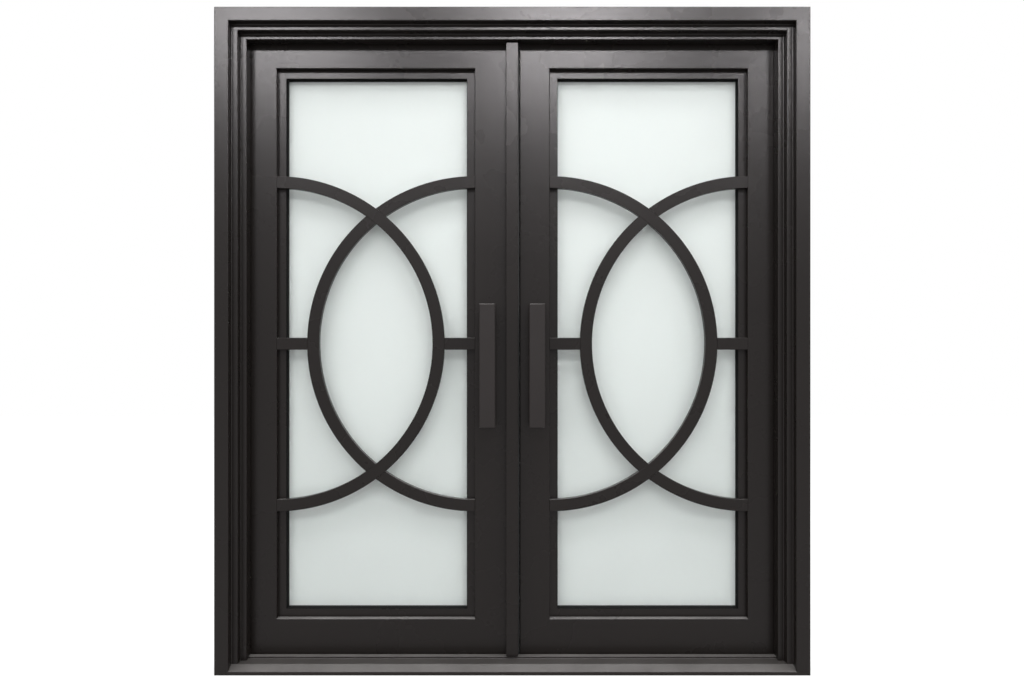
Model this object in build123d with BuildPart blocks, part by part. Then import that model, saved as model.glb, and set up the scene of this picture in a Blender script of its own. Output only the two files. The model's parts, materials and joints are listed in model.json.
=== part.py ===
from build123d import *
import os

os.makedirs("parts", exist_ok=True)

# French doors in a stepped steel frame, in millimetres.
# X runs to the right seen from outside, Y into the building, Z up.
# The origin is under the middle of the threshold, half way through the frame.

# Frame
frame_width = 1829.0
frame_height = 2050.0
frame_depth = 152.0
face_width = 44.0
face_depth = 25.0
step_width = 20.0
step_depth = 25.0
stop_width = 19.0
rebate_setback = 16.5
frame_sheet = 2.0
bend_radius = 3.0

# Wall fixings in each jamb
fixing_radius = 5.5
fixing_spacing_deep = 70.0
fixing_end_inset = 325.0

# Threshold
sill_nose_height = 10.5
sill_slope_depth = 25.0
sill_tread_height = 24.5
sill_stop_height = 30.0
sill_stop_width = 20.0
sill_rebate_height = 14.0
sill_sheet = 3.0
sill_edge_radius = 1.5
sill_groove_depth = 1.8
sill_groove_height = 2.5

# Leaves
leaf_thickness = 60.0
leaf_gap = 4.0
leaf_seal_gap = 4.0
leaf_floor_gap = 6.0
hinge_stile_width = 94.0
left_meeting_stile_width = 138.0
meeting_line = 18.5
meeting_gap = 5.0
right_meeting_stile_width = 96.0
top_rail_height = 88.0
bottom_rail_height = 120.5
tube_wall = 2.0
tube_edge_radius = 3.0

# Cover bar at the meeting line
cover_width = 38.0
cover_thickness = 9.0
cover_top_gap = 4.0
cover_bottom_gap = 4.0
cover_edge_radius = 1.5

# Glazing, in order from the grille inwards: the flange fills what the glass and its gaskets leave
grille_depth = 18.0
flange_width = 25.0
gasket_sight = 2.5
gasket_width = 14.5
front_gasket_thickness = 3.0
pane_thickness = 4.0
spacer_depth = 5.0
spacer_width = 12.0
spacer_inset = 4.0
back_gasket_thickness = 2.5
glass_edge_gap = 4.0
setting_block_length = 80.0
setting_block_shares = (0.25, 0.75)
bead_width = 25.0
bead_lap = 9.0
bead_thickness = 6.0
bead_joint = 0.3

# Grille
bar_width = 38.0
tie_length = 96.5
bar_chamfer = 1.0

# Pull handles
pull_width = 50.0
pull_thickness = 22.0
pull_length = 387.0
pull_standoff = 38.0
pull_chamfer = 2.0
pull_inset = 41.5
pull_mid_height = 947.5
post_size = 22.0
post_spacing = 310.0
post_chamfer = 1.5
pull_bolt_radius = 5.0
pull_bolt_clearance = 0.5
pull_bolt_grip = 18.0

# Hinges
hinge_end_inset = 240.0
barrel_radius = 8.0
barrel_length = 50.0
barrel_chamfer = 2.0
barrel_standoff = 1.0
knuckle_plate_width = 34.0
knuckle_plate_thickness = 4.0
pin_radius = 5.0
pin_clearance = 0.05
pin_grip = 42.0
pin_end_gap = 1.0
thrust_thickness = 2.0

# Seals
seal_clearance = 0.3
frame_seal_width = 9.0
frame_seal_inset = 4.0
sweep_depth = 24.0
sweep_inset = 6.0
sweep_end_gap = 3.0
meeting_seal_thickness = 1.5
meeting_seal_depth = 12.0
meeting_seal_inset = 3.5
meeting_seal_end_gap = 4.0

# Flush bolts in the left leaf's meeting stile
bolt_radius = 5.0
bolt_length = 260.0
bolt_clearance = 0.3
bolt_end_inset = 1.0
bolt_travel = 14.0
bolt_edge_inset = 20.0
bolt_back_inset = 18.0
strike_clearance = 1.0
tab_width = 8.0
tab_height = 16.0
tab_clearance = 0.5
bolt_plate_width = 18.0
bolt_plate_height = 110.0
bolt_plate_thickness = 1.5

# Overrun of every cut
overrun = 2.0

# Places worked out from the sizes above
half = 0.5
half_width = half * frame_width
half_depth = half * frame_depth
first_step = face_width + step_width
stop_edge = first_step + stop_width
rebate_edge = stop_edge - rebate_setback
stop_front = face_depth + step_depth
stop_back = frame_depth - leaf_thickness - leaf_seal_gap
sill_stop_front = stop_back - sill_stop_width

leaf_back = half_depth
leaf_front = leaf_back - leaf_thickness
leaf_middle = half * (leaf_front + leaf_back)
leaf_edge = half_width - rebate_edge - leaf_gap
leaf_bottom = sill_rebate_height + leaf_floor_gap
leaf_top = frame_height - rebate_edge - leaf_gap
leaf_height = leaf_top - leaf_bottom

opening_bottom = leaf_bottom + bottom_rail_height
opening_top = leaf_top - top_rail_height
opening_middle = half * (opening_bottom + opening_top)

flange_front = leaf_front + grille_depth
inner_pane_back = leaf_back - back_gasket_thickness
inner_pane_front = inner_pane_back - pane_thickness
spacer_front = inner_pane_front - spacer_depth
outer_pane_front = spacer_front - pane_thickness
flange_back = outer_pane_front - front_gasket_thickness
bead_back = leaf_back + bead_thickness

hinge_x = half_width - rebate_edge - half * leaf_gap
hinge_y = leaf_back + barrel_standoff + barrel_radius
hinge_low = leaf_bottom + hinge_end_inset
hinge_high = leaf_top - hinge_end_inset
hinge_heights = (hinge_low, half * (hinge_low + hinge_high), hinge_high)

post_heights = (pull_mid_height - half * post_spacing, pull_mid_height + half * post_spacing)

bolt_x = meeting_line - bolt_edge_inset
bolt_y = leaf_back - bolt_back_inset
slot_width = tab_width + 2 * tab_clearance
slot_height = tab_height + bolt_travel + 2 * tab_clearance
tab_rest = bolt_end_inset + bolt_length - half * tab_height
slot_shift = half * bolt_travel
tab_slots = (leaf_top - tab_rest + slot_shift, leaf_bottom + tab_rest - slot_shift)


def save(piece, name):
    """Labels a finished piece and writes it to its own file."""
    piece.part.label = name
    export_step(piece.part, f"parts/{name}.step")


def block(low, high):
    """A box between two corners, added to the part that is being built."""
    size = [b - a for a, b in zip(low, high)]
    middle = [half * (a + b) for a, b in zip(low, high)]
    with Locations(tuple(middle)):
        return Box(*size)


# Stepped section of the frame: in from the outer side, then back from the exterior face
frame_points = [
    (0, 0),
    (face_width, 0),
    (face_width, face_depth),
    (first_step, face_depth),
    (first_step, stop_front),
    (stop_edge, stop_front),
    (stop_edge, stop_back),
    (rebate_edge, stop_back),
    (rebate_edge, frame_depth),
    (0, frame_depth),
]


def frame_section(plane, hollow):
    """The frame's section on a plane, as folded sheet or as its full outline."""
    with BuildSketch(plane) as section:
        with BuildLine():
            Polyline(*frame_points, close=True)
        make_face()
        if hollow:
            offset(amount=-frame_sheet, kind=Kind.INTERSECTION, mode=Mode.SUBTRACT)
        fillet(section.face().outer_wire().vertices(), bend_radius)
    return section.sketch


jamb_plane = Plane(origin=(-half_width, -half_depth, 0), x_dir=(1, 0, 0), z_dir=(0, 0, 1))
head_plane = Plane(origin=(-half_width, -half_depth, frame_height), x_dir=(0, 0, -1), z_dir=(1, 0, 0))
sill_end = half_width - half * face_width
sill_plane = Plane(origin=(-sill_end, -half_depth, 0), x_dir=(0, 1, 0), z_dir=(1, 0, 0))
left_mitre = Plane(origin=(-half_width, 0, frame_height), z_dir=(1, 0, 1))
right_mitre = Plane(origin=(half_width, 0, frame_height), z_dir=(-1, 0, 1))
jamb_section = frame_section(jamb_plane, True)
jamb_outline = frame_section(jamb_plane, False)
head_section = frame_section(head_plane, True)

# Left jamb, with its wall fixing holes in the outer side
with BuildPart() as jamb_left:
    extrude(jamb_section, amount=frame_height)
    split(bisect_by=left_mitre, keep=Keep.BOTTOM)
    with BuildSketch(Plane.YZ.offset(-half_width)):
        with Locations((0, half * frame_height)):
            with GridLocations(fixing_spacing_deep, frame_height - 2 * fixing_end_inset, 2, 2):
                Circle(fixing_radius)
    extrude(amount=frame_sheet, mode=Mode.SUBTRACT)
save(jamb_left, "jamb_left")

# Right jamb, the left one's mirror image
with BuildPart() as jamb_right:
    mirror(jamb_left.part, about=Plane.YZ)
save(jamb_right, "jamb_right")

# Head, mitred to both jambs, with the hole that takes the top flush bolt
with BuildPart() as head:
    extrude(head_section, amount=frame_width)
    split(bisect_by=left_mitre, keep=Keep.TOP)
    split(bisect_by=right_mitre, keep=Keep.TOP)
    with Locations((bolt_x, bolt_y, frame_height - rebate_edge)):
        Cylinder(bolt_radius + strike_clearance, 2 * frame_sheet + overrun, mode=Mode.SUBTRACT)
save(head, "head")

# Threshold, coped to the stepped jambs, with the hole that takes the bottom flush bolt
with BuildPart() as jamb_cope:
    extrude(jamb_outline, amount=frame_height)
with BuildPart() as threshold:
    with BuildSketch(sill_plane) as sill_section:
        with BuildLine():
            Polyline(
                (0, 0),
                (0, sill_nose_height),
                (sill_slope_depth, sill_tread_height),
                (sill_stop_front, sill_tread_height),
                (sill_stop_front, sill_stop_height),
                (stop_back, sill_stop_height),
                (stop_back, sill_rebate_height),
                (frame_depth, sill_rebate_height),
                (frame_depth, 0),
                close=True,
            )
        make_face()
        offset(amount=-sill_sheet, kind=Kind.INTERSECTION, mode=Mode.SUBTRACT)
        corners = sill_section.face().outer_wire().vertices()
        fillet(corners.filter_by_position(Axis.Y, sill_nose_height, sill_stop_height), sill_edge_radius)
        with Locations((sill_stop_front, sill_tread_height)):
            Rectangle(sill_groove_depth, sill_groove_height, align=Align.MIN, mode=Mode.SUBTRACT)
    extrude(amount=2 * sill_end)
    add(jamb_cope.part, mode=Mode.SUBTRACT)
    add(mirror(jamb_cope.part, about=Plane.YZ, mode=Mode.PRIVATE), mode=Mode.SUBTRACT)
    with Locations((bolt_x, bolt_y, sill_rebate_height)):
        Cylinder(bolt_radius + strike_clearance, 2 * sill_sheet + overrun, mode=Mode.SUBTRACT)
save(threshold, "threshold")

# Frame seals on the back of the stop, clear of the leaf by the seal clearance
seal_outer = half_width - stop_edge + frame_seal_inset + frame_seal_width
seal_inner = half_width - stop_edge + frame_seal_inset
seal_front = stop_back - half_depth
seal_back = leaf_front - seal_clearance
seal_top = frame_height - stop_edge + frame_seal_inset + frame_seal_width
with BuildPart() as frame_seal_left:
    block((-seal_outer, seal_front, sill_stop_height), (-seal_inner, seal_back, seal_top))
save(frame_seal_left, "frame_seal_left")
with BuildPart() as frame_seal_right:
    mirror(frame_seal_left.part, about=Plane.YZ)
save(frame_seal_right, "frame_seal_right")
with BuildPart() as frame_seal_top:
    block((-seal_inner, seal_front, seal_top - frame_seal_width), (seal_inner, seal_back, seal_top))
save(frame_seal_top, "frame_seal_top")


class Leaf:
    """The edges of one leaf and of its glass opening, and which way its free edge lies."""

    def __init__(self, side, hinge_edge, free_edge, meeting_stile_width):
        self.side = side
        self.hinge_edge = hinge_edge
        self.free_edge = free_edge
        self.to_free = 1 if free_edge > hinge_edge else -1
        self.opening_hinge = hinge_edge + self.to_free * hinge_stile_width
        self.opening_free = free_edge - self.to_free * meeting_stile_width
        self.opening_left = min(self.opening_hinge, self.opening_free)
        self.opening_right = max(self.opening_hinge, self.opening_free)
        self.arc_radius = self.opening_right - self.opening_left - tie_length - half * bar_width
        self.pull_x = self.opening_free + self.to_free * pull_inset
        self.axis_x = -self.to_free * hinge_x


left_leaf = Leaf("left", -leaf_edge, meeting_line, left_meeting_stile_width)
right_leaf = Leaf("right", leaf_edge, meeting_line + meeting_gap, right_meeting_stile_width)


def corner_plane(outer_x, outer_z, inner_x, inner_z):
    """The mitre plane of a leaf's corner, facing the rail."""
    run = Vector(inner_x - outer_x, 0, inner_z - outer_z)
    facing = run.cross(Vector(0, 1, 0))
    if facing.Z * (outer_z - inner_z) < 0:
        facing = -facing
    return Plane(origin=(outer_x, leaf_middle, outer_z), z_dir=facing)


def tube_section(plane, size_x, size_y, centre):
    """A hollow tube section with rounded edges, on a plane."""
    with BuildSketch(plane) as section:
        with Locations(centre):
            RectangleRounded(size_x, size_y, tube_edge_radius)
            Rectangle(size_x - 2 * tube_wall, size_y - 2 * tube_wall, mode=Mode.SUBTRACT)
    return section.sketch


def build_stile(leaf, name, outer, inner):
    """An upright tube of the leaf, mitred at both ends."""
    section = tube_section(
        Plane.XY.offset(leaf_bottom),
        abs(outer - inner),
        leaf_thickness,
        (half * (outer + inner), leaf_middle),
    )
    with BuildPart() as stile:
        extrude(section, amount=leaf_height)
        split(bisect_by=corner_plane(outer, leaf_top, inner, opening_top), keep=Keep.BOTTOM)
        split(bisect_by=corner_plane(outer, leaf_bottom, inner, opening_bottom), keep=Keep.BOTTOM)
        if name == "meeting_stile":
            with Locations(*[(leaf.pull_x, leaf_middle, z) for z in post_heights]):
                Cylinder(
                    pull_bolt_radius + pull_bolt_clearance,
                    leaf_thickness + overrun,
                    rotation=(90, 0, 0),
                    mode=Mode.SUBTRACT,
                )
        if name == "meeting_stile" and leaf is left_leaf:
            for z in tab_slots:
                with Locations((meeting_line, bolt_y, z)):
                    Box(2 * tube_wall + overrun, slot_width, slot_height, mode=Mode.SUBTRACT)
    save(stile, f"{leaf.side}_{name}")


def build_rail(leaf, name, outer, inner):
    """A tube across the leaf, mitred at both ends."""
    section = tube_section(
        Plane.YZ.offset(min(leaf.hinge_edge, leaf.free_edge)),
        leaf_thickness,
        abs(outer - inner),
        (leaf_middle, half * (outer + inner)),
    )
    with BuildPart() as rail:
        extrude(section, amount=abs(leaf.free_edge - leaf.hinge_edge))
        split(bisect_by=corner_plane(leaf.hinge_edge, outer, leaf.opening_hinge, inner), keep=Keep.TOP)
        split(bisect_by=corner_plane(leaf.free_edge, outer, leaf.opening_free, inner), keep=Keep.TOP)
        if leaf is left_leaf:
            with Locations((bolt_x, bolt_y, outer)):
                Cylinder(bolt_radius + bolt_clearance, 2 * tube_wall + overrun, mode=Mode.SUBTRACT)
    save(rail, f"{leaf.side}_{name}")


def ring(left, right, bottom, top, width, front, back):
    """A rectangular ring in the plane of the leaf, added to the part that is being built."""
    with BuildSketch(Plane.XZ.offset(-back)) as outline:
        with Locations((half * (left + right), half * (bottom + top))):
            Rectangle(right - left, top - bottom)
            Rectangle(right - left - 2 * width, top - bottom - 2 * width, mode=Mode.SUBTRACT)
    return extrude(outline.sketch, amount=back - front)


def build_glazing(leaf):
    """Flange, insulated glass, rubber and beads, from the outside in."""
    left, right = leaf.opening_left, leaf.opening_right
    with BuildPart() as flange:
        ring(left, right, opening_bottom, opening_top, flange_width, flange_front, flange_back)
    save(flange, f"{leaf.side}_glazing_flange")

    glass_left = left + glass_edge_gap
    glass_right = right - glass_edge_gap
    glass_bottom = opening_bottom + glass_edge_gap
    glass_top = opening_top - glass_edge_gap
    for name, front in (("outer_pane", outer_pane_front), ("inner_pane", inner_pane_front)):
        with BuildPart() as pane:
            block((glass_left, front, glass_bottom), (glass_right, front + pane_thickness, glass_top))
        save(pane, f"{leaf.side}_{name}")
    with BuildPart() as spacer:
        ring(
            glass_left + spacer_inset,
            glass_right - spacer_inset,
            glass_bottom + spacer_inset,
            glass_top - spacer_inset,
            spacer_width,
            spacer_front,
            inner_pane_front,
        )
    save(spacer, f"{leaf.side}_glass_spacer")

    # A gasket on each face of the glass, and two blocks that carry its weight
    inset = flange_width + gasket_sight - gasket_width
    with BuildPart() as rubber:
        for front, back in ((flange_back, outer_pane_front), (inner_pane_back, leaf_back)):
            ring(
                left + inset,
                right - inset,
                opening_bottom + inset,
                opening_top - inset,
                gasket_width,
                front,
                back,
            )
        for share in setting_block_shares:
            middle = left + share * (right - left)
            block(
                (middle - half * setting_block_length, outer_pane_front, opening_bottom),
                (middle + half * setting_block_length, inner_pane_back, glass_bottom),
            )
    save(rubber, f"{leaf.side}_glazing_rubber")

    # Beads screwed to the leaf's inner face: two upright, and two across between them
    with BuildPart() as beads:
        for edge in (left - bead_lap, right - bead_width):
            block(
                (edge, leaf_back, opening_bottom - bead_lap),
                (edge + bead_lap + bead_width, bead_back, opening_top + bead_lap),
            )
        across_left = left + bead_width + bead_joint
        across_right = right - bead_width - bead_joint
        for edge in (opening_bottom - bead_lap, opening_top - bead_width):
            block((across_left, leaf_back, edge), (across_right, bead_back, edge + bead_lap + bead_width))
    save(beads, f"{leaf.side}_glazing_beads")


def arc_outline(centre, towards, arc_radius):
    """Half a ring about a point on one side of the opening, reaching towards the other side."""
    reach = arc_radius + bar_width
    align = Align.MIN if towards > 0 else Align.MAX
    with BuildSketch(Plane.XZ.offset(-flange_front)) as outline:
        with Locations((centre, opening_middle)):
            Circle(arc_radius + half * bar_width)
            Circle(arc_radius - half * bar_width, mode=Mode.SUBTRACT)
            Rectangle(reach, 2 * reach, align=(align, Align.CENTER), mode=Mode.INTERSECT)
    return outline.sketch


def build_grille(leaf):
    """Two half-circle bars that cross, one whole and one cut round it, and two short ties."""
    left, right = leaf.opening_left, leaf.opening_right
    arc_radius = leaf.arc_radius
    whole_outline = arc_outline(left, 1, arc_radius)
    cut_outline = arc_outline(right, -1, arc_radius)
    with BuildPart() as arc:
        extrude(whole_outline, amount=grille_depth)
        front_edges = arc.faces().sort_by(Axis.Y)[0].edges()
        chamfer(front_edges.filter_by(GeomType.CIRCLE), bar_chamfer)
    save(arc, f"{leaf.side}_grille_arc")
    with BuildPart() as cut_arc:
        extrude(cut_outline, amount=grille_depth)
        front_edges = cut_arc.faces().sort_by(Axis.Y)[0].edges()
        chamfer(front_edges.filter_by(GeomType.CIRCLE), bar_chamfer)
        extrude(whole_outline, amount=grille_depth, mode=Mode.SUBTRACT)
    save(cut_arc, f"{leaf.side}_grille_cut_arc")
    with BuildPart() as ties:
        for edge, centre, towards in ((left, right, -1), (right, left, 1)):
            tip = centre + towards * arc_radius
            with BuildSketch(Plane.XZ.offset(-flange_front)) as tie:
                with Locations((half * (edge + tip), opening_middle)):
                    Rectangle(abs(tip - edge), bar_width)
                with Locations((centre, opening_middle)):
                    Circle(arc_radius + half * bar_width, mode=Mode.SUBTRACT)
            extrude(tie.sketch, amount=grille_depth)
        long_edges = ties.edges().filter_by(Axis.X).group_by(Axis.Y)[0]
        chamfer(long_edges, bar_chamfer)
    save(ties, f"{leaf.side}_grille_ties")


def build_pulls(leaf):
    """A pull handle on each face of the meeting stile, bolted back to back through it."""
    half_pull = half * pull_width
    half_post = half * post_size
    faces = (("outer", leaf_front, -1), ("inner", leaf_back, 1))
    for name, face, out in faces:
        near = face + out * pull_standoff
        far = near + out * pull_thickness
        with BuildPart() as pull:
            block(
                (leaf.pull_x - half_pull, min(near, far), pull_mid_height - half * pull_length),
                (leaf.pull_x + half_pull, max(near, far), pull_mid_height + half * pull_length),
            )
            chamfer(pull.edges(), pull_chamfer)
        save(pull, f"{leaf.side}_{name}_pull")
    with BuildPart() as posts:
        for name, face, out in faces:
            near = face + out * pull_standoff
            for z in post_heights:
                block(
                    (leaf.pull_x - half_post, min(face, near), z - half_post),
                    (leaf.pull_x + half_post, max(face, near), z + half_post),
                )
        chamfer(posts.edges().filter_by(Axis.Y), post_chamfer)
        with Locations(*[(leaf.pull_x, leaf_middle, z) for z in post_heights]):
            Cylinder(
                pull_bolt_radius,
                leaf_thickness + 2 * pull_bolt_grip,
                rotation=(90, 0, 0),
                mode=Mode.SUBTRACT,
            )
    save(posts, f"{leaf.side}_pull_posts")
    with BuildPart() as bolts:
        with Locations(*[(leaf.pull_x, leaf_middle, z) for z in post_heights]):
            Cylinder(pull_bolt_radius, leaf_thickness + 2 * pull_bolt_grip, rotation=(90, 0, 0))
    save(bolts, f"{leaf.side}_pull_bolts")


def knuckle(axis_x, plate_towards, up, bore_radius):
    """Half a hinge at height zero: a blind barrel that stands up or hangs down, with its welding plate."""
    far = up * barrel_length
    plate_edge = axis_x + plate_towards * knuckle_plate_width
    with BuildPart() as half_hinge:
        with Locations((axis_x, hinge_y, half * far)):
            Cylinder(barrel_radius, barrel_length)
        end_face = half_hinge.faces().sort_by(Axis.Z)[-1 if up > 0 else 0]
        chamfer(end_face.edges(), barrel_chamfer)
        block(
            (min(axis_x, plate_edge), leaf_back, min(0, far - up * barrel_chamfer)),
            (max(axis_x, plate_edge), leaf_back + knuckle_plate_thickness, max(0, far - up * barrel_chamfer)),
        )
        with Locations((axis_x, hinge_y, half * up * pin_grip)):
            Cylinder(bore_radius, pin_grip, mode=Mode.SUBTRACT)
    return half_hinge.part


def build_hinges(leaf):
    """Three hinges: the jamb's half with its pin and thrust ring, and the leaf's half above."""
    lower = knuckle(leaf.axis_x, -leaf.to_free, -1, pin_radius)
    upper = knuckle(leaf.axis_x, leaf.to_free, 1, pin_radius + pin_clearance)
    with BuildPart() as jamb_knuckles:
        with Locations(*[(0, 0, z) for z in hinge_heights]):
            add(lower)
    save(jamb_knuckles, f"{leaf.side}_jamb_knuckles")
    with BuildPart() as leaf_knuckles:
        with Locations(*[(0, 0, z + thrust_thickness) for z in hinge_heights]):
            add(upper)
    save(leaf_knuckles, f"{leaf.side}_leaf_knuckles")
    pin_top = thrust_thickness + pin_grip - pin_end_gap
    with BuildPart() as pins:
        with Locations(*[(leaf.axis_x, hinge_y, z + half * (pin_top - pin_grip)) for z in hinge_heights]):
            Cylinder(pin_radius, pin_top + pin_grip)
    save(pins, f"{leaf.side}_hinge_pins")
    with BuildPart() as rings:
        with Locations(*[(leaf.axis_x, hinge_y, z + half * thrust_thickness) for z in hinge_heights]):
            Cylinder(barrel_radius, thrust_thickness)
            Cylinder(pin_radius + pin_clearance, thrust_thickness, mode=Mode.SUBTRACT)
    save(rings, f"{leaf.side}_thrust_rings")


def build_sweep(leaf):
    """The rubber strip under the leaf, clear of the threshold."""
    ends = (leaf.hinge_edge + leaf.to_free * sweep_end_gap, leaf.free_edge - leaf.to_free * sweep_end_gap)
    front = leaf_front + sweep_inset
    with BuildPart() as sweep:
        block(
            (min(ends), front, sill_rebate_height + seal_clearance),
            (max(ends), front + sweep_depth, leaf_bottom),
        )
    save(sweep, f"{leaf.side}_sweep")


for leaf in (left_leaf, right_leaf):
    build_stile(leaf, "hinge_stile", leaf.hinge_edge, leaf.opening_hinge)
    build_stile(leaf, "meeting_stile", leaf.free_edge, leaf.opening_free)
    build_rail(leaf, "top_rail", leaf_top, opening_top)
    build_rail(leaf, "bottom_rail", leaf_bottom, opening_bottom)
    build_glazing(leaf)
    build_grille(leaf)
    build_pulls(leaf)
    build_hinges(leaf)
    build_sweep(leaf)

# Cover bar on the left leaf's face, its right edge on the meeting line
with BuildPart() as cover_bar:
    block(
        (meeting_line - cover_width, leaf_front - cover_thickness, sill_stop_height + cover_bottom_gap),
        (meeting_line, leaf_front, frame_height - stop_edge - cover_top_gap),
    )
    fillet(cover_bar.edges().filter_by(Axis.Z).group_by(Axis.Y)[0], cover_edge_radius)
save(cover_bar, "cover_bar")

# Seal on the left leaf's free edge
with BuildPart() as meeting_seal:
    block(
        (meeting_line, leaf_front + meeting_seal_inset, leaf_bottom + meeting_seal_end_gap),
        (
            meeting_line + meeting_seal_thickness,
            leaf_front + meeting_seal_inset + meeting_seal_depth,
            leaf_top - meeting_seal_end_gap,
        ),
    )
save(meeting_seal, "meeting_seal")

# Flush bolts in the left leaf: a rod with a thumb tab that comes out through the edge plate
bolt_ends = (("top_flush_bolt", leaf_top, 1), ("bottom_flush_bolt", leaf_bottom, -1))
for name, end, out in bolt_ends:
    tip = end - out * bolt_end_inset
    tail = tip - out * bolt_length
    with BuildPart() as bolt:
        with Locations((bolt_x, bolt_y, half * (tip + tail))):
            Cylinder(bolt_radius, bolt_length)
        block(
            (bolt_x, bolt_y - half * tab_width, min(tail, tail + out * tab_height)),
            (
                meeting_line + bolt_plate_thickness,
                bolt_y + half * tab_width,
                max(tail, tail + out * tab_height),
            ),
        )
    save(bolt, name)
with BuildPart() as bolt_plates:
    for z in tab_slots:
        with Locations((meeting_line + half * bolt_plate_thickness, bolt_y, z)):
            Box(bolt_plate_thickness, bolt_plate_width, bolt_plate_height)
            Box(bolt_plate_thickness, slot_width, slot_height, mode=Mode.SUBTRACT)
save(bolt_plates, "bolt_plates")
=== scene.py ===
# %% [markdown]
# # French doors in a stepped steel frame
# This lesson dresses a pair of painted steel french doors that already exist as exact solids.
# The solids are loaded as a fixed frame, in metres, with X to the right seen from outside, Y into the
# building and Z up. Blender gives them their finishes and adds what the solids leave out: the lip between
# the leaves, the full depth of the cover bar, the tape round the glass, and screws and welds.

# %% Load the doors
import json
import math

import bmesh
import bpy
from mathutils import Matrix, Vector


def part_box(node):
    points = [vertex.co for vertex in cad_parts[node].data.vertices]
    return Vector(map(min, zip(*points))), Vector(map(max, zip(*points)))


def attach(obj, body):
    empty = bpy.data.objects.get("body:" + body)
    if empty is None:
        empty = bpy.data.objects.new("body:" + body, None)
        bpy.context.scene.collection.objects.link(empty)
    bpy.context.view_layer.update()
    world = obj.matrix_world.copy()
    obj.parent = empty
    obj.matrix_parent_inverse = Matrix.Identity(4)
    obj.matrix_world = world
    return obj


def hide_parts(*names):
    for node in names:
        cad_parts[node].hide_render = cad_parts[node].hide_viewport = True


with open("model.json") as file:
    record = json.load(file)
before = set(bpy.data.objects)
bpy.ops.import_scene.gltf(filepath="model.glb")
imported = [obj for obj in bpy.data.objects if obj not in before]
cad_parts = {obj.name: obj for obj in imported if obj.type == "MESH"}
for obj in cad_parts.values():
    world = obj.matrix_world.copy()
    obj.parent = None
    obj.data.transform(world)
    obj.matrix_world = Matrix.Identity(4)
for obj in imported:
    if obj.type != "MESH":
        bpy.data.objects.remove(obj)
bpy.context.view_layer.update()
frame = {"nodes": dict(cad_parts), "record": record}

nodes = frame["nodes"]
scene = bpy.context.scene

# %% [markdown]
# ## The camera
# The picture is taken straight on, level with the middle of the doors. A camera near the doors shows the
# sides of the stepped frame, and one far away hides them. So the distance is found from how much wider the
# frame's outer face looks than its inner steps, and the focal length follows from it.


# %% Camera
def add_object(name, data):
    """A new object in the scene."""
    made = bpy.data.objects.new(name, data)
    scene.collection.objects.link(made)
    return made


photo_width_px = 1024
photo_height_px = 683
doors_middle_px = (512.28, 340.9)
metres_per_px = 0.0030637
camera_distance = 2.34
sensor_width = 36.0

frame_low, frame_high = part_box("jamb_left")
outside_y = frame_low.y
middle_z = (frame_low.z + frame_high.z) / 2

camera_data = bpy.data.cameras.new("camera")
camera_data.sensor_width = sensor_width
camera_data.sensor_fit = "HORIZONTAL"
camera_data.lens = sensor_width * camera_distance / (photo_width_px * metres_per_px)
camera_data.clip_end = 100.0
camera = add_object("camera", camera_data)
camera.location = (
    (photo_width_px / 2 - doors_middle_px[0]) * metres_per_px,
    outside_y - camera_distance,
    middle_z - (photo_height_px / 2 - doors_middle_px[1]) * metres_per_px,
)
camera.rotation_euler = (math.pi / 2, 0, 0)
scene.camera = camera
print("camera at", tuple(round(v, 3) for v in camera.location), "lens", round(camera_data.lens, 2))

# %% [markdown]
# ## Light, floor and background
# The paint is nearly black, so most of what shows on it is reflection: bright at the top, where it mirrors
# lamps over the viewer's head, and dark lower down. So the light is a grid of ceiling panels. The far row is
# mirrored as soft patches in the head and the top rails. The near row is steep, so it lights every edge that
# faces up and throws the grille's shadows on the glass. The patches have to be bright, so the far panels
# only show in reflections and add nothing to the light level. So does a lamp right above the doors, which
# draws the bright line on each edge that faces up. The world round them is plain white. The floor is grey
# to the light, and glows only where it is seen, mirrored or looked at through the glass, so it looks white.

# %% World
scene.view_settings.view_transform = "Standard"
white_strength = 1.0

world = bpy.data.worlds.new("studio")
scene.world = world
world.use_nodes = True
white = world.node_tree.nodes["Background"]
white.inputs["Color"].default_value = (1.0, 1.0, 1.0, 1.0)
white.inputs["Strength"].default_value = white_strength
print("white world of strength", white_strength)


# %% Lamp helpers
def soft_lamp(name, place, target, width, height, power):
    """A rectangular area lamp at a place, turned to face a target."""
    data = bpy.data.lights.new(name, "AREA")
    data.shape = "RECTANGLE"
    data.size = width
    data.size_y = height
    data.energy = power
    lamp = add_object(name, data)
    lamp.location = place
    lamp.rotation_euler = (Vector(target) - Vector(place)).to_track_quat("-Z", "Y").to_euler()
    return lamp


ceiling_z = 3.4


def ceiling_panel(name, column_x, row_y, size, power):
    """A lamp panel in the ceiling, facing straight down."""
    return soft_lamp(name, (column_x, row_y, ceiling_z), (column_x, row_y, 0.0), *size, power)


def only_in_reflections(lamp):
    """Keeps a lamp's light off matt surfaces and out of the glass, so that it only shows as shine."""
    lamp.visible_diffuse = False
    lamp.visible_transmission = False


# %% Lamps
panel_columns = (-1.75, 0.40, 2.50)
panel_size = (1.1, 0.6)
near_row_y = -1.1
near_power = 20.0
far_row_y = -3.2
far_powers = (285.0, 325.0, 250.0)
edge_row_y = -0.35
edge_size = (5.0, 0.5)
edge_power = 150.0
inside_place = (0.0, 3.2, ceiling_z)
inside_size = (3.6, 1.2)
inside_power = 100.0

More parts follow.
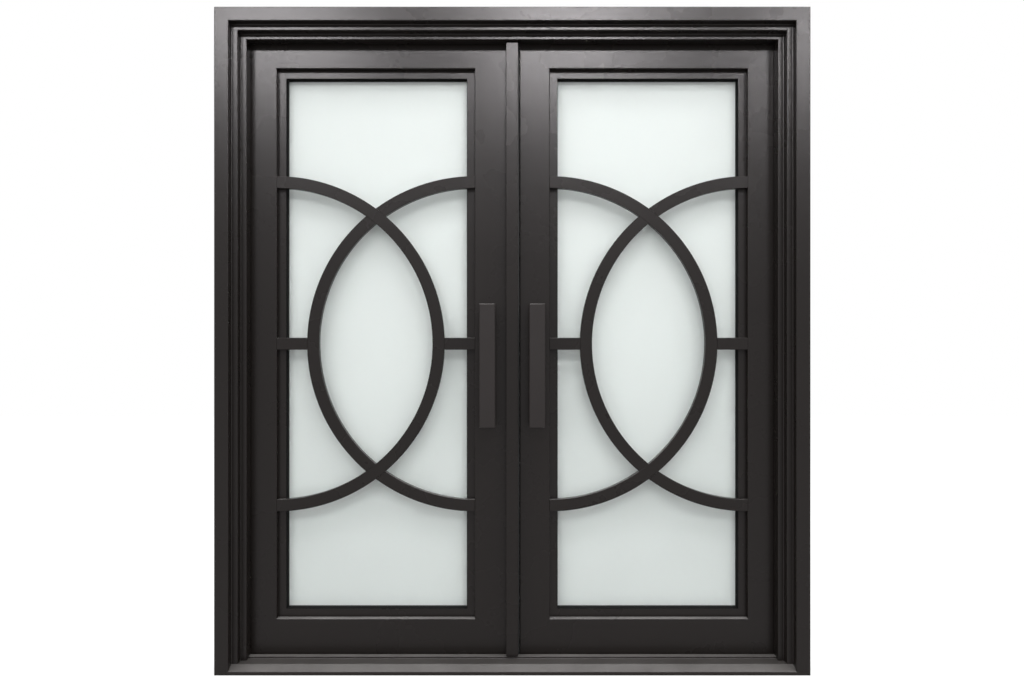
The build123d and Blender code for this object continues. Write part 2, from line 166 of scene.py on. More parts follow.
lamps = [soft_lamp("inside_lamp", inside_place, (0.0, 0.0, middle_z), *inside_size, inside_power)]
for number, (column_x, far_power) in enumerate(zip(panel_columns, far_powers), start=1):
    lamps.append(ceiling_panel(f"near_panel_{number}", column_x, near_row_y, panel_size, near_power))
    far_panel = ceiling_panel(f"far_panel_{number}", column_x, far_row_y, panel_size, far_power)
    only_in_reflections(far_panel)
    lamps.append(far_panel)
edge_lamp = ceiling_panel("edge_lamp", 0.0, edge_row_y, edge_size, edge_power)
only_in_reflections(edge_lamp)
lamps.append(edge_lamp)
print("lamps:", [lamp.name for lamp in lamps])

# %% Floor
floor_half = 8.0
floor_drop = 0.001
floor_mesh = bpy.data.meshes.new("floor")
floor_mesh.from_pydata(
    [
        (-floor_half, -floor_half, -floor_drop),
        (floor_half, -floor_half, -floor_drop),
        (floor_half, floor_half, -floor_drop),
        (-floor_half, floor_half, -floor_drop),
    ],
    [],
    [(0, 1, 2, 3)],
)
floor = add_object("floor", floor_mesh)
print("floor side", 2 * floor_half, "m")

# %% Floor paint
floor_grey = 0.3
floor_brightness = 0.75
floor_paint = bpy.data.materials.new("floor_paint")
floor_paint.use_nodes = True
floor_tree = floor_paint.node_tree
floor_shader = floor_tree.nodes["Principled BSDF"]
floor_shader.inputs["Base Color"].default_value = (floor_grey, floor_grey, floor_grey, 1.0)
floor_shader.inputs["Roughness"].default_value = 0.9
floor_shader.inputs["Specular IOR Level"].default_value = 0.0
floor_shader.inputs["Emission Color"].default_value = (1.0, 1.0, 1.0, 1.0)
floor_path = floor_tree.nodes.new("ShaderNodeLightPath")
floor_glow = floor_tree.nodes.new("ShaderNodeMath")
floor_glow.operation = "MULTIPLY"
floor_glow.inputs[1].default_value = floor_brightness
floor_seen = floor_tree.nodes.new("ShaderNodeMath")
floor_seen.operation = "MAXIMUM"
floor_seen_all = floor_tree.nodes.new("ShaderNodeMath")
floor_seen_all.operation = "MAXIMUM"
floor_tree.links.new(floor_path.outputs["Is Camera Ray"], floor_seen.inputs[0])
floor_tree.links.new(floor_path.outputs["Is Glossy Ray"], floor_seen.inputs[1])
floor_tree.links.new(floor_seen.outputs[0], floor_seen_all.inputs[0])
floor_tree.links.new(floor_path.outputs["Is Transmission Ray"], floor_seen_all.inputs[1])
floor_tree.links.new(floor_seen_all.outputs[0], floor_glow.inputs[0])
floor_tree.links.new(floor_glow.outputs[0], floor_shader.inputs["Emission Strength"])
floor_mesh.materials.append(floor_paint)
print("floor brightness", floor_brightness)

# %% [markdown]
# ## Shader groups
# Sprayed paint is never perfectly even. Its surface has a fine ripple called orange peel, its gloss drifts,
# and its colour clouds a little. Several finishes share that, so it is one node group with named inputs,
# read on Object coordinates so that it lies still on each piece. A second group lays a pale film on what
# faces up, which is partly dust and partly painted light: the top faces lighter as if lit from above.


# %% Coat group
def group_socket(group, name, kind, value=None, output=False):
    """Adds one named socket to a node group."""
    socket = group.interface.new_socket(name=name, in_out="OUTPUT" if output else "INPUT", socket_type=kind)
    if value is not None:
        socket.default_value = value


def make_coat_group():
    """Clouded colour, drifting roughness and the height of the orange peel."""
    group = bpy.data.node_groups.new("sprayed_coat", "ShaderNodeTree")
    group_socket(group, "Light Colour", "NodeSocketColor", (0.02, 0.02, 0.02, 1.0))
    group_socket(group, "Dark Colour", "NodeSocketColor", (0.01, 0.01, 0.01, 1.0))
    group_socket(group, "Cloud Scale", "NodeSocketFloat", 5.0)
    group_socket(group, "Peel Scale", "NodeSocketFloat", 420.0)
    group_socket(group, "Roughness Low", "NodeSocketFloat", 0.3)
    group_socket(group, "Roughness High", "NodeSocketFloat", 0.42)
    group_socket(group, "Colour", "NodeSocketColor", output=True)
    group_socket(group, "Roughness", "NodeSocketFloat", output=True)
    group_socket(group, "Height", "NodeSocketFloat", output=True)
    tree_nodes = group.nodes
    links = group.links
    entry = tree_nodes.new("NodeGroupInput")
    leave = tree_nodes.new("NodeGroupOutput")
    place = tree_nodes.new("ShaderNodeTexCoord")
    cloud = tree_nodes.new("ShaderNodeTexNoise")
    cloud.inputs["Detail"].default_value = 4.0
    cloud.inputs["Roughness"].default_value = 0.55
    links.new(place.outputs["Object"], cloud.inputs["Vector"])
    links.new(entry.outputs["Cloud Scale"], cloud.inputs["Scale"])
    colour = tree_nodes.new("ShaderNodeMix")
    colour.data_type = "RGBA"
    links.new(cloud.outputs["Fac"], colour.inputs["Factor"])
    links.new(entry.outputs["Dark Colour"], colour.inputs["A"])
    links.new(entry.outputs["Light Colour"], colour.inputs["B"])
    links.new(colour.outputs["Result"], leave.inputs["Colour"])
    gloss = tree_nodes.new("ShaderNodeMapRange")
    links.new(cloud.outputs["Fac"], gloss.inputs["Value"])
    links.new(entry.outputs["Roughness Low"], gloss.inputs["To Min"])
    links.new(entry.outputs["Roughness High"], gloss.inputs["To Max"])
    links.new(gloss.outputs["Result"], leave.inputs["Roughness"])
    peel = tree_nodes.new("ShaderNodeTexNoise")
    peel.inputs["Detail"].default_value = 2.0
    links.new(place.outputs["Object"], peel.inputs["Vector"])
    links.new(entry.outputs["Peel Scale"], peel.inputs["Scale"])
    links.new(peel.outputs["Fac"], leave.inputs["Height"])
    return group


coat_group = make_coat_group()
print("shader group:", coat_group.name)


# %% Dust and painted top light group
def make_dust_and_top_light_group():
    """A pale dusty film on what faces up, partly painted light from above, thicker in some places than in
    others.
    """
    group = bpy.data.node_groups.new("dust_and_painted_top_light", "ShaderNodeTree")
    group_socket(group, "Colour", "NodeSocketColor", (0.02, 0.02, 0.02, 1.0))
    group_socket(group, "Dust And Top Light Colour", "NodeSocketColor", (0.10, 0.095, 0.09, 1.0))
    group_socket(group, "Amount", "NodeSocketFloat", 0.5)
    group_socket(group, "Patch Scale", "NodeSocketFloat", 9.0)
    group_socket(group, "Facing Low", "NodeSocketFloat", 0.35)
    group_socket(group, "Facing High", "NodeSocketFloat", 0.9)
    group_socket(group, "Colour", "NodeSocketColor", output=True)
    tree_nodes = group.nodes
    links = group.links
    entry = tree_nodes.new("NodeGroupInput")
    leave = tree_nodes.new("NodeGroupOutput")
    place = tree_nodes.new("ShaderNodeTexCoord")
    split = tree_nodes.new("ShaderNodeSeparateXYZ")
    links.new(place.outputs["Normal"], split.inputs[0])
    # How much a face looks up sets the pale film: partly settled dust, partly painted light from above.
    facing = tree_nodes.new("ShaderNodeMapRange")
    facing.interpolation_type = "SMOOTHSTEP"
    links.new(entry.outputs["Facing Low"], facing.inputs["From Min"])
    links.new(entry.outputs["Facing High"], facing.inputs["From Max"])
    links.new(split.outputs["Z"], facing.inputs["Value"])
    patches = tree_nodes.new("ShaderNodeTexNoise")
    patches.inputs["Detail"].default_value = 6.0
    links.new(place.outputs["Object"], patches.inputs["Vector"])
    links.new(entry.outputs["Patch Scale"], patches.inputs["Scale"])
    uneven = tree_nodes.new("ShaderNodeMapRange")
    uneven.inputs["From Min"].default_value = 0.3
    uneven.inputs["From Max"].default_value = 0.7
    uneven.inputs["To Min"].default_value = 0.65
    links.new(patches.outputs["Fac"], uneven.inputs["Value"])
    thick = tree_nodes.new("ShaderNodeMath")
    thick.operation = "MULTIPLY"
    links.new(facing.outputs["Result"], thick.inputs[0])
    links.new(uneven.outputs["Result"], thick.inputs[1])
    amount = tree_nodes.new("ShaderNodeMath")
    amount.operation = "MULTIPLY"
    links.new(thick.outputs[0], amount.inputs[0])
    links.new(entry.outputs["Amount"], amount.inputs[1])
    film = tree_nodes.new("ShaderNodeMix")
    film.data_type = "RGBA"
    links.new(amount.outputs[0], film.inputs["Factor"])
    links.new(entry.outputs["Colour"], film.inputs["A"])
    links.new(entry.outputs["Dust And Top Light Colour"], film.inputs["B"])
    links.new(film.outputs["Result"], leave.inputs["Colour"])
    return group


dust_and_top_light_group = make_dust_and_top_light_group()
print("shader group:", dust_and_top_light_group.name)

# %% [markdown]
# ## Finishes
# The steel is sprayed in a satin bronze that is almost black. The pulls and the sill have paints of their
# own, and so do the bottom rails, whose ledges carry a pale film that is a painted highlight of the light
# from above, with a little dust in it. The glass is etched, so it is milky and hides what is behind it. The
# seals and the tape are black, and the fixings inside the leaves are plated steel. One function makes all of
# them from values for the coat group.


# %% Coated materials
def coated_material(name, shades, roughness, specular, cloud_scale, peel_scale, peel_depth, dust_and_top_light=0.0):
    """A material whose colour, roughness and bump come from the coat group, with a dusty film of painted
    light if asked for.
    """
    material = bpy.data.materials.new(name)
    material.use_nodes = True
    tree = material.node_tree
    shader = tree.nodes["Principled BSDF"]
    shader.inputs["Specular IOR Level"].default_value = specular
    coat = tree.nodes.new("ShaderNodeGroup")
    coat.node_tree = coat_group
    coat.inputs["Light Colour"].default_value = (*shades[0], 1.0)
    coat.inputs["Dark Colour"].default_value = (*shades[1], 1.0)
    coat.inputs["Cloud Scale"].default_value = cloud_scale
    coat.inputs["Peel Scale"].default_value = peel_scale
    coat.inputs["Roughness Low"].default_value = roughness[0]
    coat.inputs["Roughness High"].default_value = roughness[1]
    bump = tree.nodes.new("ShaderNodeBump")
    bump.inputs["Distance"].default_value = peel_depth
    colour = coat.outputs["Colour"]
    # Faces that look up get the pale film: partly dust, partly painted light from above.
    if dust_and_top_light > 0.0:
        film = tree.nodes.new("ShaderNodeGroup")
        film.name = "dust_and_top_light"
        film.node_tree = dust_and_top_light_group
        film.inputs["Amount"].default_value = dust_and_top_light
        tree.links.new(colour, film.inputs["Colour"])
        colour = film.outputs["Colour"]
    tree.links.new(colour, shader.inputs["Base Color"])
    tree.links.new(coat.outputs["Roughness"], shader.inputs["Roughness"])
    tree.links.new(coat.outputs["Height"], bump.inputs["Height"])
    tree.links.new(bump.outputs["Normal"], shader.inputs["Normal"])
    return material, shader


def level_dust_and_light_film(material, dust_colour):
    """Gives a material's dusty film of painted light a colour of its own, and lays it only on what is nearly
    level.
    """
    film = material.node_tree.nodes["dust_and_top_light"]
    film.inputs["Dust And Top Light Colour"].default_value = (*dust_colour, 1.0)
    film.inputs["Facing Low"].default_value = 0.7
    film.inputs["Facing High"].default_value = 0.97
    return film


# %% Paints
bronze_coat = {
    "shades": ((0.0142, 0.0115, 0.0101), (0.0110, 0.0088, 0.0077)),
    "roughness": (0.25, 0.30),
    "specular": 0.20,
    "cloud_scale": 4.0,
    "peel_scale": 380.0,
    "peel_depth": 0.0003,
}
# The bronze and the pulls get the pale film on faces that look up: some dust, some painted top light.
bronze_paint, bronze_shader = coated_material("bronze_paint", **bronze_coat, dust_and_top_light=0.5)
pull_paint, pull_shader = coated_material(
    "pull_paint",
    shades=((0.0250, 0.0205, 0.0195), (0.0200, 0.0165, 0.0155)),
    roughness=(0.30, 0.36),
    specular=0.22,
    cloud_scale=9.0,
    peel_scale=700.0,
    peel_depth=0.0002,
    dust_and_top_light=0.35,
)
# The bottom rails' ledges get a pale film that is a painted highlight of the light from above, with some
# dust.
ledge_highlight_and_dust_paint, ledge_highlight_and_dust_shader = coated_material("ledge_highlight_and_dust_paint", **bronze_coat, dust_and_top_light=1.0)
level_dust_and_light_film(ledge_highlight_and_dust_paint, (0.26, 0.25, 0.245))
sill_paint, sill_shader = coated_material(
    "sill_paint",
    shades=((0.0155, 0.0115, 0.0095), (0.0118, 0.0085, 0.0070)),
    roughness=(0.30, 0.40),
    specular=0.22,
    cloud_scale=6.0,
    peel_scale=380.0,
    peel_depth=0.0003,
    dust_and_top_light=0.95,
)
paint_tint = (1.0, 0.962, 0.982, 1.0)
for shader in (bronze_shader, pull_shader, ledge_highlight_and_dust_shader, sill_shader):
    shader.inputs["Specular Tint"].default_value = paint_tint
print("paints:", [paint.name for paint in (bronze_paint, pull_paint, ledge_highlight_and_dust_paint, sill_paint)])

# %% Glass, rubber and tape
etched_glass, glass_shader = coated_material(
    "etched_glass",
    shades=((0.90, 0.935, 0.92), (0.86, 0.90, 0.885)),
    roughness=(0.55, 0.65),
    specular=0.4,
    cloud_scale=2.0,
    peel_scale=900.0,
    peel_depth=0.00005,
)
glass_shader.inputs["Transmission Weight"].default_value = 0.35
glass_shader.inputs["IOR"].default_value = 1.5
black_rubber, _ = coated_material(
    "black_rubber",
    shades=((0.014, 0.014, 0.014), (0.008, 0.008, 0.008)),
    roughness=(0.6, 0.75),
    specular=0.3,
    cloud_scale=40.0,
    peel_scale=900.0,
    peel_depth=0.0002,
)
tape_black, _ = coated_material(
    "tape_black",
    shades=((0.010, 0.010, 0.010), (0.006, 0.006, 0.006)),
    roughness=(0.85, 0.95),
    specular=0.05,
    cloud_scale=40.0,
    peel_scale=900.0,
    peel_depth=0.0002,
)
print("glass and black:", [material.name for material in (etched_glass, black_rubber, tape_black)])

# %% Bare metal
zinc_plate, zinc_shader = coated_material(
    "zinc_plate",
    shades=((0.62, 0.61, 0.58), (0.50, 0.50, 0.49)),
    roughness=(0.28, 0.42),
    specular=0.5,
    cloud_scale=60.0,
    peel_scale=900.0,
    peel_depth=0.0001,
)
mill_aluminium, aluminium_shader = coated_material(
    "mill_aluminium",
    shades=((0.80, 0.80, 0.80), (0.70, 0.70, 0.70)),
    roughness=(0.35, 0.5),
    specular=0.5,
    cloud_scale=30.0,
    peel_scale=900.0,
    peel_depth=0.0001,
)
for shader in (zinc_shader, aluminium_shader):
    shader.inputs["Metallic"].default_value = 1.0
print("bare metal:", [metal.name for metal in (zinc_plate, mill_aluminium)])

# %% [markdown]
# ## Painted light on the sill
# The sill's pale film is painted light with a little dust in it. It is thick on the sloping front and on the
# top of the stop, where light from above falls, and thin on the flat between them, which lies in the shade of
# the leaves. Two masks read the place on the sill and set how much film the dust and light group lays down.


# %% Painted light on the sill
def sill_painted_light(material, slope_end_y, ledge_z, soft_edge, thin_film):
    """Painted light on the sill: full film on the slope and the ledge, thin film on the shaded flat between.
    """
    tree = material.node_tree
    # The film's colour is painted light: a pale tone where light from above falls on the sill, with some
    # dust.
    film = level_dust_and_light_film(material, (0.160, 0.152, 0.146))
    place = tree.nodes.new("ShaderNodeTexCoord")
    split = tree.nodes.new("ShaderNodeSeparateXYZ")
    tree.links.new(place.outputs["Object"], split.inputs[0])
    on_slope = tree.nodes.new("ShaderNodeMapRange")
    on_slope.inputs["From Min"].default_value = slope_end_y + soft_edge
    on_slope.inputs["From Max"].default_value = slope_end_y
    tree.links.new(split.outputs["Y"], on_slope.inputs["Value"])
    on_ledge = tree.nodes.new("ShaderNodeMapRange")
    on_ledge.inputs["From Min"].default_value = ledge_z - soft_edge
    on_ledge.inputs["From Max"].default_value = ledge_z
    tree.links.new(split.outputs["Z"], on_ledge.inputs["Value"])
    either = tree.nodes.new("ShaderNodeMath")
    either.operation = "MAXIMUM"
    tree.links.new(on_slope.outputs["Result"], either.inputs[0])
    tree.links.new(on_ledge.outputs["Result"], either.inputs[1])
    # A full film on the lit slope and ledge, and a thin one as painted shade on the flat under the leaves.
    amount = tree.nodes.new("ShaderNodeMapRange")
    amount.inputs["To Min"].default_value = thin_film
    amount.inputs["To Max"].default_value = 1.0
    tree.links.new(either.outputs[0], amount.inputs["Value"])
    tree.links.new(amount.outputs["Result"], film.inputs["Amount"])


slope_depth = 0.025
painted_light_soft_edge = 0.002
tread_painted_shade_film = 0.44
sill_low, sill_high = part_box("threshold")
slope_end = sill_low.y + slope_depth
sill_painted_light(sill_paint, slope_end, sill_high.z, painted_light_soft_edge, tread_painted_shade_film)
print("painted_light slope ends at", round(slope_end, 4))

# %% Finishes on the solids
finishes = {
    "paint": bronze_paint,
    "glass": etched_glass,
    "rubber": black_rubber,
    "steel": zinc_plate,
    "spacer": mill_aluminium,
}

for subpart in frame["record"]["subparts"]:
    mesh = nodes[subpart["node"]].data
    material = finishes[subpart["material_slot"]]
    if "_pull" in subpart["node"] and subpart["material_slot"] == "paint":
        material = pull_paint
    if subpart["node"].endswith("_bottom_rail"):
        material = ledge_highlight_and_dust_paint
    if subpart["node"] == "threshold":
        material = sill_paint
    mesh.materials.clear()
    mesh.materials.append(material)

# %% [markdown]
# ## The meeting lip
# Between the two leaves there is a gap of 5 mm, which each leaf needs to swing past the other. On a real door
# a rubber lip on one leaf closes it and bends when the other leaf passes. The solid seal is only a thin strip
# that nothing touches, so this piece stands for it: the strip with a lip that curves across the gap.


# %% Meeting lip
def extruded_outline(name, outline, low_z, high_z):
    """A closed mesh from an anticlockwise outline in X and Y, drawn up from one height to another."""
    count = len(outline)
    points = [(x, y, low_z) for x, y in outline] + [(x, y, high_z) for x, y in outline]
    walls = [(i, (i + 1) % count, count + (i + 1) % count, count + i) for i in range(count)]
    mesh = bpy.data.meshes.new(name)
    mesh.from_pydata(points, [], [tuple(reversed(range(count))), tuple(range(count, 2 * count)), *walls])
    return add_object(name, mesh)


lip_clearance = 0.0001
lip_root_depth = 0.0006
lip_tip_depth = 0.0048
lip_thickness = 0.0016
lip_taper = 0.4
lip_steps = 8
seal_low, seal_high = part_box("meeting_seal")
gap_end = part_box("right_meeting_stile")[0].x - lip_clearance
lip_root = seal_low.y + lip_root_depth
lip_tip = seal_low.y + lip_tip_depth
lip_front = []
lip_back = []
for step in range(lip_steps + 1):
    share = step / lip_steps
    x = seal_high.x + share * (gap_end - seal_high.x)
    y = lip_root + share * share * (lip_tip - lip_root - lip_thickness)
    lip_front.append((x, y))
    lip_back.append((x, y + lip_thickness * (1.0 - lip_taper * share)))
seal_outline = [
    (seal_low.x, seal_low.y),
    (seal_high.x, seal_low.y),
    *lip_front,
    *reversed(lip_back),
    (seal_high.x, seal_high.y),
    (seal_low.x, seal_high.y),
]
meeting_lip = extruded_outline("meeting_lip", seal_outline, seal_low.z, seal_high.z)
meeting_lip.data.materials.append(black_rubber)
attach(meeting_lip, "left_leaf")
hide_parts("meeting_seal")
print("lip reaches from", round(seal_low.x, 4), "to", round(gap_end, 4))

# %% [markdown]
# ## The cover bar
# The bar over the meeting line is a steel tube that stands well out from the leaf: seen from the front, its
# ends reach over the head's underside and over the ledge of the sill. The solid bar is flat, so a deeper one
# stands for it, with the same ends. All its edges are rounded, as drawn tube is.


# %% Cover bar
def rounded_bar(name, low, high, edge_radius, edge_steps):
    """A closed bar between two corners, with all its edges rounded."""
    shape = bmesh.new()
    bmesh.ops.create_cube(shape, size=1.0)
    for point in shape.verts:
        share = point.co + Vector((0.5, 0.5, 0.5))
        point.co = [low[i] + share[i] * (high[i] - low[i]) for i in range(3)]
    bmesh.ops.bevel(
        shape, geom=shape.edges[:], offset=edge_radius, segments=edge_steps, profile=0.5, affect="EDGES"
    )
    mesh = bpy.data.meshes.new(name)
    shape.to_mesh(mesh)
    shape.free()
    return add_object(name, mesh)


cover_low, cover_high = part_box("cover_bar")
cover_depth = 0.032
cover_side_trim = 0.0003
cover_edge_radius = 0.0015
cover_edge_steps = 3
deep_cover_bar = rounded_bar(
    "deep_cover_bar",
    (cover_low.x + cover_side_trim, cover_high.y - cover_depth, cover_low.z),
    (cover_high.x - cover_side_trim, cover_high.y, cover_high.z),
    cover_edge_radius,
    cover_edge_steps,
)
deep_cover_bar.data.materials.append(bronze_paint)
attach(deep_cover_bar, "left_leaf")
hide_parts("cover_bar")
print("cover bar from y", round(cover_high.y - cover_depth, 4), "to", round(cover_high.y, 4))

# %% [markdown]
# ## Glazing tape
# The glass is bedded in black tape, which also covers the inner edge of the flange round it, so the pane
# has a thin black outline from every side. The tape is half a millimetre thick, so a ring of four strips is
# enough. Its opening is read from the flange's own corners.


# %% Glazing tape
def rectangle_ring(name, low_x, high_x, low_z, high_z, thickness, front_y, back_y):
    """A closed ring inside a rectangle in X and Z, from a front to a back."""
    points = []
    for y in (front_y, back_y):
        for inset in (0.0, thickness):
            left, right = low_x + inset, high_x - inset
            bottom, top = low_z + inset, high_z - inset
            points += [(left, y, bottom), (right, y, bottom), (right, y, top), (left, y, top)]
    faces = []
    for i in range(4):
        j = (i + 1) % 4
        faces.append((i, j, 4 + j, 4 + i))
        faces.append((8 + j, 8 + i, 12 + i, 12 + j))
        faces.append((j, i, 8 + i, 8 + j))
        faces.append((4 + i, 4 + j, 12 + j, 12 + i))
    mesh = bpy.data.meshes.new(name)
    mesh.from_pydata(points, [], faces)
    return add_object(name, mesh)


tape_thickness = 0.0005
tape_set_back = 0.001
for side in ("left", "right"):
    flange = nodes[f"{side}_glazing_flange"].data
    columns = sorted({round(point.co.x, 5) for point in flange.vertices})
    levels = sorted({round(point.co.z, 5) for point in flange.vertices})
    flange_low, flange_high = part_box(f"{side}_glazing_flange")
    tape = rectangle_ring(
        f"{side}_glazing_tape",
        columns[1],
        columns[-2],
        levels[1],
        levels[-2],
        tape_thickness,
        flange_low.y + tape_set_back,
        flange_high.y,
    )
    tape.data.materials.append(tape_black)
    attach(tape, f"{side}_leaf")
    print(tape.name, "opening", columns[1], "to", columns[-2], "and", levels[1], "to", levels[-2])

# %% [markdown]
# ## Trees that grow along edges
# Screws and weld ripples both repeat along straight runs. Placing each one in Python would work, but a node
# tree keeps their sizes as inputs that can be changed later. So the runs are drawn as loose edges, a tree
# turns the edges into curves and sets copies on them, and the result is kept as a plain mesh on one body.


# %% Helpers for node trees
def joined(tree, kind, inputs, **settings):
    """Adds a node with its settings, and links or sets its inputs by name."""
    node = tree.nodes.new(kind)
    for setting, value in settings.items():
        setattr(node, setting, value)
    for name, value in inputs.items():
        if isinstance(value, bpy.types.NodeSocket):
            tree.links.new(value, node.inputs[name])
        else:
            node.inputs[name].default_value = value
    return node.outputs


def random_number(tree, low, high, seed):
    """A random number for each copy. The node has sockets for every type, so these go by their place."""
    drawn = joined(tree, "FunctionNodeRandomValue", {2: low, 3: high, "Seed": seed}, data_type="FLOAT")
    return drawn[1]


def set_along(tree, entry, instance, turn, scale):
    """Ends a tree: copies of an instance along the runs, made real and given their finish."""
    curves = joined(tree, "GeometryNodeMeshToCurve", {"Mesh": entry["Runs"]})
    spots = joined(
        tree,
        "GeometryNodeResampleCurve",
        {"Curve": curves["Curve"], "Length": entry["Spacing"]},
        mode="LENGTH",
    )
    copies = joined(
        tree,
        "GeometryNodeInstanceOnPoints",
        {"Points": spots["Curve"], "Instance": instance, "Rotation": turn, "Scale": scale},
    )
    real = joined(tree, "GeometryNodeRealizeInstances", {"Geometry": copies["Instances"]})
    done = joined(
        tree, "GeometryNodeSetMaterial", {"Geometry": real["Geometry"], "Material": entry["Finish"]}
    )
    joined(tree, "NodeGroupOutput", {"Mesh": done["Geometry"]})


# %% Growing a piece
def grow(name, tree, runs, values, body):
    """Runs a tree on polylines and keeps the result as a plain mesh that rides on a body."""
    points = []
    edges = []
    for run in runs:
        first = len(points)
        points.extend(run)
        edges.extend((first + i, first + i + 1) for i in range(len(run) - 1))
    run_mesh = bpy.data.meshes.new(name + "_runs")
    run_mesh.from_pydata(points, edges, [])
    piece = add_object(name, run_mesh)
    modifier = piece.modifiers.new("grow", "NODES")
    modifier.node_group = tree
    for socket in tree.interface.items_tree:
        if socket.name in values:
            modifier[socket.identifier] = values[socket.name]
    depsgraph = bpy.context.evaluated_depsgraph_get()
    grown = bpy.data.meshes.new_from_object(piece.evaluated_get(depsgraph), depsgraph=depsgraph)
    piece.modifiers.remove(modifier)
    piece.data = grown
    grown.name = name
    grown.materials.clear()
    grown.materials.append(values["Finish"])
    bpy.data.meshes.remove(run_mesh)
    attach(piece, body)
    print(name, "polygons:", len(grown.polygons), "finish:", [m.name for m in grown.materials])


# %% [markdown]
# ## Screws
# The glazing beads are screwed to the leaf from inside, in rows along each bead, and the plates of the flush
# bolts have two screws each. A head is a low dome with a cross recess cut by a boolean, and every recess is
# turned at random with a fixed seed, because no fitter lines them up.


# %% Screw tree
def make_screw_tree():
    """Screw heads along the runs, turned at random about their own axis and facing one way."""
    tree = bpy.data.node_groups.new("screw_rows", "GeometryNodeTree")
    group_socket(tree, "Runs", "NodeSocketGeometry")
    group_socket(tree, "Spacing", "NodeSocketFloat", 0.25)
    group_socket(tree, "Head Radius", "NodeSocketFloat", 0.004)
    group_socket(tree, "Head Height", "NodeSocketFloat", 0.0018)
    group_socket(tree, "Facing", "NodeSocketVector", (0.0, 0.0, 0.0))
    group_socket(tree, "Seed", "NodeSocketInt", 7)
    group_socket(tree, "Finish", "NodeSocketMaterial")
    group_socket(tree, "Mesh", "NodeSocketGeometry", output=True)
    entry = tree.nodes.new("NodeGroupInput").outputs
    radius = entry["Head Radius"]
    height = entry["Head Height"]
    squash = joined(tree, "ShaderNodeMath", {0: height, 1: radius}, operation="DIVIDE")
    flat = joined(tree, "ShaderNodeCombineXYZ", {"X": 1.0, "Y": 1.0, "Z": squash[0]})
    ball = joined(tree, "GeometryNodeMeshUVSphere", {"Segments": 20, "Rings": 12, "Radius": radius})
    low = joined(tree, "GeometryNodeTransform", {"Geometry": ball["Mesh"], "Scale": flat[0]})
    dome = joined(tree, "GeometryNodeSetShadeSmooth", {"Geometry": low["Geometry"]})
    recess_length = 1.1
    recess_width = 0.26
    long_side = joined(tree, "ShaderNodeMath", {0: radius, 1: recess_length}, operation="MULTIPLY")
    short_side = joined(tree, "ShaderNodeMath", {0: radius, 1: recess_width}, operation="MULTIPLY")
    lift = joined(tree, "ShaderNodeCombineXYZ", {"Z": height})
    recess = tree.nodes.new("GeometryNodeMeshBoolean")
    recess.operation = "DIFFERENCE"
    tree.links.new(dome["Geometry"], recess.inputs["Mesh 1"])
    for along, across in ((long_side, short_side), (short_side, long_side)):
        size = joined(tree, "ShaderNodeCombineXYZ", {"X": along[0], "Y": across[0], "Z": height})
        blade = joined(tree, "GeometryNodeMeshCube", {"Size": size[0]})
        raised = joined(
            tree, "GeometryNodeTransform", {"Geometry": blade["Mesh"], "Translation": lift[0]}
        )
        tree.links.new(raised["Geometry"], recess.inputs["Mesh 2"])
    angle = random_number(tree, 0.0, math.tau, entry["Seed"])
    own_turn = joined(tree, "ShaderNodeCombineXYZ", {"Z": angle})
    turn = joined(
        tree,
        "FunctionNodeRotateRotation",
        {"Rotation": entry["Facing"], "Rotate By": own_turn[0]},
        rotation_space="LOCAL",
    )
    set_along(tree, entry, recess.outputs["Mesh"], turn["Rotation"], (1.0, 1.0, 1.0))
    return tree


screw_tree = make_screw_tree()
print("screw tree nodes:", len(screw_tree.nodes))

# %% Bead screws
screw_inset = 0.0045
row_end = 0.062
facing_inside = (-math.pi / 2, 0.0, 0.0)
for side in ("left", "right"):
    low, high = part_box(f"{side}_glazing_beads")
    rows = []
    for x in (low.x + screw_inset, high.x - screw_inset):
        rows.append([(x, high.y, low.z + row_end), (x, high.y, high.z - row_end)])
    for z in (low.z + screw_inset, high.z - screw_inset):
        rows.append([(low.x + row_end, high.y, z), (high.x - row_end, high.y, z)])
    grow(
        f"{side}_bead_screws",
        screw_tree,
        rows,
        {"Spacing": 0.24, "Head Radius": 0.0035, "Facing": facing_inside, "Finish": zinc_plate},
        f"{side}_leaf",
    )

# %% Bolt plate screws
plate_low, plate_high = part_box("bolt_plates")
plate_height = 0.110
plate_screw_inset = 0.010
plate_y = (plate_low.y + plate_high.y) / 2
plate_rows = []
for bottom in (plate_low.z, plate_high.z - plate_height):
    lower = (plate_high.x, plate_y, bottom + plate_screw_inset)
    upper = (plate_high.x, plate_y, bottom + plate_height - plate_screw_inset)
    plate_rows.append([lower, upper])
grow(
    "bolt_plate_screws",
    screw_tree,
    plate_rows,
    {
        "Spacing": 0.085,
        "Head Radius": 0.003,
        "Head Height": 0.0004,
        "Facing": (0.0, math.pi / 2, 0.0),
        "Finish": zinc_plate,
    },
    "left_leaf",
)

# %% [markdown]
# ## Weld beads
# The hinge plates are welded to the jamb and to the leaf along three sides and painted over. A weld is a row
# of overlapping ripples, so flattened balls set close together along the edges of the plate give its look.


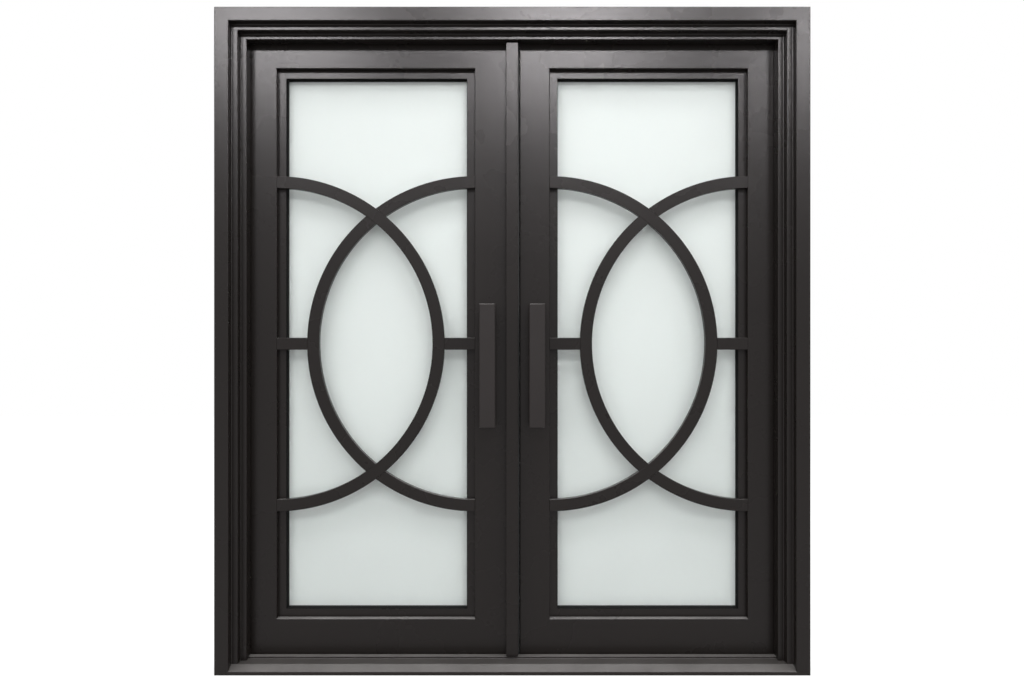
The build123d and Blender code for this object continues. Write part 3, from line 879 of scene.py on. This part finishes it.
# %% Weld tree
def make_weld_tree():
    """Overlapping flattened balls along the runs, each a little larger or smaller."""
    tree = bpy.data.node_groups.new("weld_runs", "GeometryNodeTree")
    group_socket(tree, "Runs", "NodeSocketGeometry")
    group_socket(tree, "Spacing", "NodeSocketFloat", 0.0017)
    group_socket(tree, "Ripple Radius", "NodeSocketFloat", 0.0026)
    group_socket(tree, "Ripple Height", "NodeSocketFloat", 0.0021)
    group_socket(tree, "Seed", "NodeSocketInt", 3)
    group_socket(tree, "Finish", "NodeSocketMaterial")
    group_socket(tree, "Mesh", "NodeSocketGeometry", output=True)
    entry = tree.nodes.new("NodeGroupInput").outputs
    squash = joined(
        tree, "ShaderNodeMath", {0: entry["Ripple Height"], 1: entry["Ripple Radius"]}, operation="DIVIDE"
    )
    flat = joined(tree, "ShaderNodeCombineXYZ", {"X": 1.0, "Y": squash[0], "Z": 1.0})
    ball = joined(
        tree, "GeometryNodeMeshUVSphere", {"Segments": 8, "Rings": 5, "Radius": entry["Ripple Radius"]}
    )
    low = joined(tree, "GeometryNodeTransform", {"Geometry": ball["Mesh"], "Scale": flat[0]})
    ripple = joined(tree, "GeometryNodeSetShadeSmooth", {"Geometry": low["Geometry"]})
    smallest = 0.88
    largest = 1.1
    size = random_number(tree, smallest, largest, entry["Seed"])
    set_along(tree, entry, ripple["Geometry"], (0.0, 0.0, 0.0), size)
    return tree


weld_tree = make_weld_tree()
print("weld tree nodes:", len(weld_tree.nodes))


# %% Hinge welds
def plate_runs(root_x, edge_x, face_y, bottoms, plate_length):
    """Three sides of each hinge plate, from its root by the barrel round its far edge and back."""
    runs = []
    for bottom in bottoms:
        top = bottom + plate_length
        corners = ((root_x, bottom), (edge_x, bottom), (edge_x, top), (root_x, top))
        runs.append([(x, face_y, z) for x, z in corners])
    return runs


barrel_length = 0.050
hinge_plate_length = 0.048
weld_root = 0.0135
weld_lift = 0.0006
jamb_weld_runs = []
for side, to_free in (("left", 1.0), ("right", -1.0)):
    low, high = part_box(f"{side}_leaf_knuckles")
    free_x = high.x if to_free > 0 else low.x
    barrel_x = low.x if to_free > 0 else high.x
    highest = high.z - barrel_length
    bottoms = (low.z, (low.z + highest) / 2, highest)
    leaf_runs = plate_runs(
        barrel_x + to_free * weld_root, free_x, low.y + weld_lift, bottoms, hinge_plate_length
    )
    grow(
        f"{side}_hinge_welds", weld_tree, leaf_runs, {"Finish": bronze_paint}, f"{side}_leaf"
    )
    low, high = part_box(f"{side}_jamb_knuckles")
    wall_x = low.x if to_free > 0 else high.x
    barrel_x = high.x if to_free > 0 else low.x
    lowest = low.z + barrel_length - hinge_plate_length
    highest = high.z - hinge_plate_length
    bottoms = (lowest, (lowest + highest) / 2, highest)
    jamb_weld_runs += plate_runs(
        barrel_x - to_free * weld_root, wall_x, low.y + weld_lift, bottoms, hinge_plate_length
    )
grow("jamb_hinge_welds", weld_tree, jamb_weld_runs, {"Finish": bronze_paint}, "frame")
